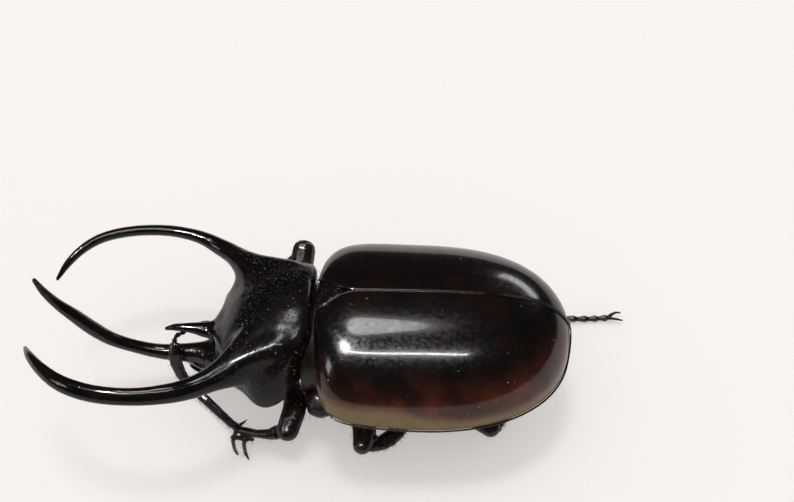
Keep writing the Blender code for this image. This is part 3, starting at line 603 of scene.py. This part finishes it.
def selectRim(rim, high):
    # The rim's edges lie between a face of the outside and a face of the thin edge strip.
    def outwards(face):
        centre = face.center
        axis = Vector((min(centre.x, high.x - wingCase["axis end"]), waist.y, wingCase["axis height"]))
        return face.normal.dot((centre - axis).normalized())

    sharing = {}
    for face in rim.data.polygons:
        for key in face.edge_keys:
            sharing.setdefault(key, []).append(face)
    for edge in rim.data.edges:
        faces = sharing.get(edge.key, [])
        facing = sorted(outwards(face) for face in faces)
        turn = faces[0].normal.angle(faces[1].normal) if len(faces) == 2 else 0
        edge.select = (turn > wingCase["bead turn"] and facing[1] > wingCase["outside faces"]
                       and facing[0] > wingCase["strip faces"])


def makeRimBead(side):
    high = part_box(f"elytron_{side}")[1]
    rim = copyNode(f"elytron_{side}")
    edit(rim, "EDGE")
    bpy.ops.mesh.select_all(action="DESELECT")
    done()
    selectRim(rim, high)
    edit(rim, "EDGE")
    bpy.ops.mesh.select_all(action="INVERT")
    bpy.ops.mesh.delete(type="EDGE")
    bpy.ops.mesh.select_all(action="SELECT")
    wider = wingCase["bead stands out"]
    bpy.ops.transform.resize(value=(wider, wider, 1), center_override=((waist.x + high.x) / 2, waist.y, 0))
    done()
    pick(rim)
    bpy.ops.object.convert(target="CURVE")
    rim = bpy.context.object
    bpy.ops.object.mode_set(mode="EDIT")
    bpy.ops.curve.select_all(action="SELECT")
    bpy.ops.curve.spline_type_set(type="NURBS")
    done()
    rim.data.bevel_depth = wingCase["bead radius"]
    rim.data.bevel_resolution = wingCase["bead sides"]
    rim.data.resolution_u = wingCase["bead steps"]
    rim.data.use_fill_caps = True
    for spline in rim.data.splines:
        spline.use_cyclic_u = True
        spline.order_u = wingCase["bead order"]
    pick(rim)
    bpy.ops.object.convert(target="MESH")
    rim = bpy.context.object
    print("rim bead", side, len(rim.data.vertices), "vertices")
    finishPiece(rim, f"wing_case_bead_{side}", hornFinish)


for side in sideNames:
    makeRimBead(side)
    makeWingCase(side)
print("wing cases made")


# Shield with its three horns, and head with its horn, each grown together

rootForm = {
    "overlap": 1.0 * mm,
    "flat within": radians(0.5),
}
shieldForm = {
    "voxel": 0.26 * mm,
    "body smoothing": 34,
    "horn smoothing": 5,
    "front": 6 * mm,  # the body's smoothing comes in over this length
    "half width": 14 * mm,  # out to the lobes it falls by 1 over this width
    "smoothed middle": 1.6,  # from this in the middle, where anything over 1 is full
}
headForm = {
    "voxel": 0.16 * mm,
    "body smoothing": 20,
    "horn smoothing": 6,
    "front": 4 * mm,
}


def growRoot(horn):
    # The root is the one large flat face: it is pushed into the piece that the horn grows from.
    edit(horn, "FACE")
    bpy.ops.mesh.select_all(action="SELECT")
    bpy.ops.mesh.dissolve_limited(angle_limit=rootForm["flat within"])
    bpy.ops.mesh.select_all(action="DESELECT")
    done()
    root = max(horn.data.polygons, key=lambda face: face.area)
    root.select = True
    push = root.normal * rootForm["overlap"]
    bpy.ops.object.mode_set(mode="EDIT")
    bpy.ops.mesh.extrude_region_move(TRANSFORM_OT_translate={"value": push})
    bpy.ops.mesh.select_all(action="SELECT")
    bpy.ops.mesh.quads_convert_to_tris()
    done()


def shareGroup(thing, name, weigh):
    group = thing.vertex_groups.new(name=name)
    for vertex in thing.data.vertices:
        group.add([vertex.index], max(0.0, min(1.0, weigh(vertex.co))), "REPLACE")


def melt(thing, form, onBody):
    # One skin over the joined pieces, smoothed most where onBody gives 1.
    reskin(thing, form["voxel"])
    shareGroup(thing, "smooth here", onBody)
    smooth(thing, form["body smoothing"], "smooth here")
    smooth(thing, form["horn smoothing"])
    thing.vertex_groups.clear()


def makeShield():
    names = ["pronotum"] + [f"horn_pronotum_{which}" for which in ("left", "right", "middle")]
    copies = [copyNode(name) for name in names]
    for horn in copies[1:]:
        growRoot(horn)
    shield = join(copies)
    low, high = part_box("pronotum")
    middle = (low + high) / 2

    def onBody(place):
        ahead = (place.x - low.x) / shieldForm["front"]
        aside = abs(place.y - middle.y) / shieldForm["half width"]
        return min(ahead, shieldForm["smoothed middle"] - aside)

    melt(shield, shieldForm, onBody)
    finishPiece(shield, "shield_with_horns", shieldFinish, names)


def makeHead():
    horn = copyNode("horn_head")
    growRoot(horn)
    head = join([copyNode("head"), horn])
    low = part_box("head")[0]

    def onBody(place):
        return (place.x - low.x) / headForm["front"]

    melt(head, headForm, onBody)
    finishPiece(head, "head_with_horn", hornFinish, ["head", "horn_head"])


makeShield()
print("shield and its horns made")
makeHead()
print("head and its horn made")


# The wrinkled skin deep in the gaps between shield, breast and belly, seen as their dark lining

skinPlaces = {
    # place from the waist, half width, half height and length
    "neck_skin": (Vector((0.6, 0, 12.4)) * mm, 10.2 * mm, 7.9 * mm, 5.0 * mm),
    "belly_skin": (Vector((19.2, 0, 12.0)) * mm, 13.0 * mm, 9.0 * mm, 3.0 * mm),
}
skinForm = {
    "sides": 56,
    "folds": 5,
    "fold depth": 0.95,
    "on the ring": 0.01 * mm,
    "fold rounding": 0.3 * mm,
    "fold steps": 2,
    "folds sharper than": radians(60),
}


def makeSkin(name, place, halfWidth, halfHeight, length):
    deselectAll()
    bpy.ops.mesh.primitive_cylinder_add(
        vertices=skinForm["sides"], radius=1, depth=length, end_fill_type="NGON",
        location=waist + place, rotation=(0, pi / 2, 0), scale=(halfHeight, halfWidth, 1))
    skin = bpy.context.object
    settle(skin)
    middle = waist + place
    step = length / skinForm["folds"] / 2
    narrower = skinForm["fold depth"]
    for fold in range(2 * skinForm["folds"] - 1):
        # Cut rings through the tube, and draw in every other one.
        across = middle.x - length / 2 + (fold + 1) * step
        edit(skin)
        bpy.ops.mesh.select_all(action="SELECT")
        bpy.ops.mesh.bisect(plane_co=(across, 0, 0), plane_no=(1, 0, 0))
        done()
        for vertex in skin.data.vertices:
            vertex.select = abs(vertex.co.x - across) < skinForm["on the ring"]
        if fold % 2 == 0:
            edit(skin)
            bpy.ops.transform.resize(
                value=(1, narrower, narrower), center_override=(across, middle.y, middle.z))
            done()
    modify(skin, "BEVEL", width=skinForm["fold rounding"], segments=skinForm["fold steps"],
           limit_method="ANGLE", angle_limit=skinForm["folds sharper than"])
    facesOut(skin)
    finishPiece(skin, name, bellyFinish)


for name, measures in skinPlaces.items():
    makeSkin(name, *measures)
print("skins in the gaps made")


# The smaller pieces keep the CAD's shape on a finer, rounded skin.

fineCopies = {
    # for each CAD node: the piece, its finish and slot, the skin's voxel in mm and its rounds of smoothing
    "scutellum": ("scutellum_plate", shieldFinish, "shield", 0.14, 8),
    "eye_left": ("eye_ball_left", eyeFinish, "eye", 0.10, 6),
    "eye_right": ("eye_ball_right", eyeFinish, "eye", 0.10, 6),
    "mandible_left": ("jaw_left", hornFinish, "horn", 0.08, 5),
    "mandible_right": ("jaw_right", hornFinish, "horn", 0.08, 5),
    "antenna_left": ("feeler_left", feelerFinish, "feeler", 0.08, 3),
    "antenna_right": ("feeler_right", feelerFinish, "feeler", 0.08, 3),
    "pygidium": ("tail_plate", bellyFinish, "underside", 0.22, 8),
    "abdomen": ("belly_plates", bellyFinish, "underside", 0.22, 4),
    "thorax_underside": ("breast", bellyFinish, "underside", 0.26, 10),
}
for leg in legNames:
    fineCopies[f"coxa_{leg}"] = (f"hip_{leg}", legFinish, "leg", 0.16, 6)
    fineCopies[f"femur_{leg}"] = (f"thigh_{leg}", legFinish, "leg", 0.16, 8)
    fineCopies[f"tibia_{leg}"] = (f"shin_{leg}", legFinish, "leg", 0.13, 4)
    fineCopies[f"tarsus_{leg}"] = (f"foot_{leg}", legFinish, "leg", 0.10, 3)

for node, (name, material, slot, voxel, rounds) in fineCopies.items():
    piece = copyNode(node)
    reskin(piece, voxel * mm)
    smooth(piece, rounds)
    finishPiece(piece, name, material, [node])
print("smaller pieces made")


# Knee joints: a pair of round knobs with a small pit where thigh and shin meet

kneeForm = {
    "radius": 0.85 * mm,
    "flatter": 0.75,
    "spread": 1.05 * mm,
    "back": 0.55 * mm,
    "lowest": 0.9 * mm,
    "roundness": 2,
    "pit faces": 0.93,  # the pit is pressed into the faces that look outwards this squarely
    "pit rim": 0.12,
    "pit depth": 0.22,
    "pit narrows": 0.45,
    "pit roundness": 1,
}


def nearestPair(first, second):
    # The point halfway between the two nearest corners of two CAD nodes.
    corners = [corner.co for corner in second.data.vertices]
    pairs = [(one.co, min(corners, key=lambda other: (one.co - other).length_squared))
             for one in first.data.vertices]
    one, other = min(pairs, key=lambda pair: (pair[0] - pair[1]).length_squared)
    return (one + other) / 2


def makeKnob():
    # A cube rounded to a knob, with a pit pressed into its outer side.
    deselectAll()
    bpy.ops.mesh.primitive_cube_add(size=2)
    knob = bpy.context.object
    subdivide(knob, kneeForm["roundness"])
    edit(knob, "FACE")
    bpy.ops.mesh.select_all(action="DESELECT")
    done()
    for face in knob.data.polygons:
        face.select = face.normal.z > kneeForm["pit faces"]
    edit(knob, "FACE")
    bpy.ops.mesh.inset(thickness=kneeForm["pit rim"])
    bpy.ops.transform.translate(value=(0, 0, -kneeForm["pit depth"]))
    bpy.ops.transform.resize(value=(kneeForm["pit narrows"],) * 3, center_override=(0, 0, 1.0))
    done()
    subdivide(knob, kneeForm["pit roundness"])
    return knob


def makeKnees():
    knob = makeKnob()
    radius = kneeForm["radius"]
    size = Matrix.Diagonal((radius, radius, radius * kneeForm["flatter"], 1))
    for leg in legNames:
        hip = nearestPair(nodes[f"coxa_{leg}"], nodes[f"femur_{leg}"])
        knee = nearestPair(nodes[f"femur_{leg}"], nodes[f"tibia_{leg}"])
        ankle = nearestPair(nodes[f"tibia_{leg}"], nodes[f"tarsus_{leg}"])
        thigh = (knee - hip).normalized()
        hinge = thigh.cross((ankle - knee).normalized()).normalized()
        copies = []
        for turn in (-1, 1):
            centre = knee - thigh * kneeForm["back"] + hinge * turn * kneeForm["spread"]
            centre.z = max(centre.z, kneeForm["lowest"])
            facing = (hinge * turn).to_track_quat("Z", "Y").to_matrix().to_4x4()
            copies.append(placeCopy(knob, Matrix.Translation(centre) @ facing @ size))
        knees = join(copies)
        settle(knees)
        facesOut(knees)
        finishPiece(knees, f"knee_{leg}", legFinish)
    bpy.data.objects.remove(knob)


makeKnees()
print("knees made")


# Hairs and bristles: one is modelled, and copies of it are planted on the skin

hairForm = {
    "sides": 3,
    "taper": 0.72,
    "bend": (0.5, 1.3, 2.1, 2.8),  # sideways at each joint, in root radii
    "upright": 0.8,  # how much of the skin's own direction a hair keeps
    "stray": 0.3,
    "shins lean out": 0.6,  # how far a shin's bristles lean away from the body
    "sunk": 0.12 * mm,
    "lowest": 0.1 * mm,
    "seed": 41,
}


def makeHair():
    # One hair, 1 long and 1 thick at its root, bent towards +X.
    deselectAll()
    bpy.ops.mesh.primitive_circle_add(vertices=hairForm["sides"], radius=1, fill_type="NGON")
    hair = bpy.context.object
    edit(hair, "FACE")
    bpy.ops.mesh.select_all(action="SELECT")
    joints = len(hairForm["bend"])
    across = 0.0
    for joint, bend in enumerate(hairForm["bend"]):
        bpy.ops.mesh.extrude_region_move(TRANSFORM_OT_translate={"value": (bend, 0, 1 / joints)})
        across += bend
        centre = (across, 0, (joint + 1) / joints)
        bpy.ops.transform.resize(value=(hairForm["taper"],) * 3, center_override=centre)
    bpy.ops.mesh.merge(type="CENTER")
    done()
    facesOut(hair)
    return hair


hair = makeHair()
tip = Vector((sum(hairForm["bend"]), 0, 1))
hairRandom = random.Random(hairForm["seed"])

# For each growth: the node, how many, on which faces (by the way they look out and what they are at, in mm
# from the waist), the hair's lean in the body's axes, its length and its thickness in mm.
growths = {
    "fringe_shield": [
        ("pronotum", 330, lambda out, at: out.z < -0.5 and at.z < 10.0,
         (-0.5, 0, -0.5), (0.5, 1.1), 0.030),
        ("pronotum", 150, lambda out, at: out.x > 0.6 and abs(at.y) < 13,
         (0.6, 0, 0.0), (0.4, 0.9), 0.026),
    ],
    "fringe_breast": [
        ("thorax_underside", 420, lambda out, at: at.z < 11 and out.z < 0.5 and at.x < 16,
         (0.1, 0, -0.5), (0.7, 1.7), 0.030),
        ("abdomen", 200, lambda out, at: at.z < 10 and out.z < 0.3, (0.7, 0, -0.2), (0.4, 0.9), 0.026),
        ("pygidium", 170, lambda out, at: out.x > 0.1, (0.7, 0, -0.3), (0.4, 0.9), 0.026),
    ],
    "fringe_head": [
        ("head", 130, lambda out, at: at.z < 7.5 and out.z < 0.1, (-0.6, 0, -0.4), (0.5, 1.2), 0.026),
        ("mandible_left", 22, lambda out, at: True, (-0.5, -0.4, -0.2), (0.4, 0.8), 0.024),
        ("mandible_right", 22, lambda out, at: True, (-0.5, 0.4, -0.2), (0.4, 0.8), 0.024),
    ],
}
bristles = {}
for leg in legNames:
    aside = hairForm["shins lean out"] * sideNames[leg.split("_")[1]]
    bristles[f"bristles_{leg}"] = [
        (f"coxa_{leg}", 24, lambda out, at: out.z < 0.2, (0, 0, -0.6), (0.4, 0.9), 0.028),
        (f"femur_{leg}", 60, lambda out, at: out.z < 0.1, (0, 0, -0.4), (0.4, 1.0), 0.030),
        (f"tibia_{leg}", 280, lambda out, at: out.z < 0.45, (0.2, aside, -0.2), (0.4, 0.8), 0.046),
        (f"tarsus_{leg}", 40, lambda out, at: True, (0, 0, -0.2), (0.3, 0.6), 0.026),
    ]


def plant(node, count, accepts, lean, lengths, thickness):
    mesh = nodes[node].data
    faces = [face for face in mesh.polygons if accepts(face.normal, (face.center - waist) / mm)]
    stray = hairForm["stray"]
    copies = []
    for face in hairRandom.choices(faces, weights=[face.area for face in faces], k=count):
        corners = [mesh.vertices[index].co for index in face.vertices[:3]]
        near, far = sorted((hairRandom.random(), hairRandom.random()))
        root = corners[0] * near + corners[1] * (far - near) + corners[2] * (1 - far)
        astray = Vector([hairRandom.uniform(-stray, stray) for axis in range(3)])
        way = (face.normal * hairForm["upright"] + Vector(lean) + astray).normalized()
        length = hairRandom.uniform(*lengths) * mm
        root -= face.normal * hairForm["sunk"]
        facing = way.to_track_quat("Z", "X").to_matrix().to_4x4()
        spin = Matrix.Rotation(hairRandom.uniform(0, 2 * pi), 4, "Z")
        size = Matrix.Diagonal((thickness * mm, thickness * mm, length, 1))
        planted = Matrix.Translation(root) @ facing @ spin @ size
        end = planted @ tip
        # A hair that would reach past the CAD's box is left out, and one near the floor is lifted.
        if not all(cadBox[0][axis] < end[axis] < cadBox[1][axis] for axis in (0, 1)):
            continue
        lift = Matrix.Translation((0, 0, max(0, hairForm["lowest"] - min(root.z, end.z))))
        copies.append(placeCopy(hair, lift @ planted))
    return copies


def growHairs(plan, material):
    for name, fields in plan.items():
        tuft = join([one for field in fields for one in plant(*field)])
        settle(tuft)
        finishPiece(tuft, name, material)


growHairs(growths, rustHairFinish)
growHairs(bristles, bristleFinish)
bpy.data.objects.remove(hair)
print("hairs planted")


# Floor, light and camera

floorLook = {
    "colour": (0.80, 0.775, 0.765),
    "shade": (0.78, 0.755, 0.74),
    "clouds": (6, 3, 0.5, 0.4, 0.7),
    "size": 12.0,
    "mirrored darker": 0.3,  # the shell mirrors the floor this much darker than it is seen
}


def makeFloor():
    deselectAll()
    bpy.ops.mesh.primitive_plane_add(size=floorLook["size"], location=(0, 0, 0))
    floor = bpy.context.object
    floor.name = "floor"
    make = FinishMaker("floor_pale", Roughness=0.7, Specular_IOR_Level=0.0)
    pale = make.blend(make.clouds(*floorLook["clouds"]), floorLook["colour"], floorLook["shade"])
    mirrored = make.node("ShaderNodeLightPath", output="Is Glossy Ray") * floorLook["mirrored darker"]
    make.wear("Base Color", make.blend(mirrored, pale, (0.0, 0.0, 0.0)))
    floor.data.materials.append(make.material)


skyLight = {
    "colour": (1.0, 0.975, 0.95),
    "surroundings": 0.52,  # what lights the floor from all round
    "gloss": 0.030,  # the dark room that the shell mirrors
    "backdrop": 0.95,
}
# A light reaches "all" rays, only the "gloss" of the shell, or only "matt" colour and then without shadow.
sunLights = {
    # where it comes from, power, spread, colour and reach
    "soft": ((-0.10, 0.20, 0.97), 0.55, radians(15), (1.0, 0.985, 0.965), "all"),
    "spark": ((-0.30, -0.12, 0.95), 3.0, radians(4), (1.0, 0.99, 0.98), "gloss"),
    "fill": ((0.0, -0.60, 0.80), 2.0, radians(10), (1.0, 0.99, 0.98), "matt"),
}
softLights = {
    # place in metres from the waist, size, power, colour and reach
    "window": ((-0.75, -0.35, 0.42), (0.16, 0.30), 0.8, (0.94, 0.97, 1.0), "gloss"),
    "back": ((0.45, 0.75, 0.40), (0.40, 0.12), 0.9, (1.0, 0.97, 0.93), "gloss"),
    "strip": ((-0.05, -0.23, 0.92), (0.55, 0.028), 2.3, (1.0, 0.99, 0.98), "gloss"),
}


def makeLight(name, kind, place, power, colour, reach):
    # It stands at a place measured from the waist, and looks at the waist.
    light = bpy.data.lights.new(f"light_{name}", kind)
    light.energy = power
    light.color = colour
    light.use_shadow = reach != "matt"
    lamp = bpy.data.objects.new(f"light_{name}", light)
    bpy.context.scene.collection.objects.link(lamp)
    lamp.location = waist + Vector(place)
    lamp.rotation_euler = (-Vector(place)).to_track_quat("-Z", "Y").to_euler()
    lamp.visible_diffuse = reach != "gloss"
    lamp.visible_glossy = reach != "matt"
    return light


def makeLights():
    for name, (source, power, spread, colour, reach) in sunLights.items():
        makeLight(name, "SUN", source, power, colour, reach).angle = spread
    for name, (place, size, power, colour, reach) in softLights.items():
        light = makeLight(name, "AREA", place, power, colour, reach)
        light.shape = "RECTANGLE"
        light.size, light.size_y = size


def makeSky():
    world = bpy.data.worlds.new("studio")
    world.use_nodes = True
    make = NodeMaker(world.node_tree)
    strength = skyLight["surroundings"]
    for ray, level in (("Is Glossy Ray", skyLight["gloss"]), ("Is Camera Ray", skyLight["backdrop"])):
        chosen = make.node("ShaderNodeLightPath", output=ray)
        strength = make.node("ShaderNodeMix", None, {0: chosen, 2: strength, 3: level})
    background = world.node_tree.nodes["Background"]
    make.feed(background.inputs["Color"], (*skyLight["colour"], 1))
    make.feed(background.inputs["Strength"], strength)
    bpy.context.scene.world = world


cameraView = {
    "place": Vector((15.75, -102.18, 142.95)) * mm,  # from the waist
    "looks": Vector((-0.01785, 0.68176, -0.73135)),
    "lens": 45.34,
    "sensor": 36,
    "sees from": 5 * mm,
}


def makeCamera():
    camera = bpy.data.cameras.new("camera")
    camera.lens = cameraView["lens"]
    camera.sensor_width = cameraView["sensor"]
    camera.clip_start = cameraView["sees from"]
    holder = bpy.data.objects.new("camera", camera)
    bpy.context.scene.collection.objects.link(holder)
    holder.location = waist + cameraView["place"]
    holder.rotation_euler = cameraView["looks"].to_track_quat("-Z", "Y").to_euler()
    bpy.context.scene.camera = holder


makeFloor()
makeLights()
makeSky()
makeCamera()
bpy.context.scene.view_settings.view_transform = "Standard"
print("floor, light and camera made")
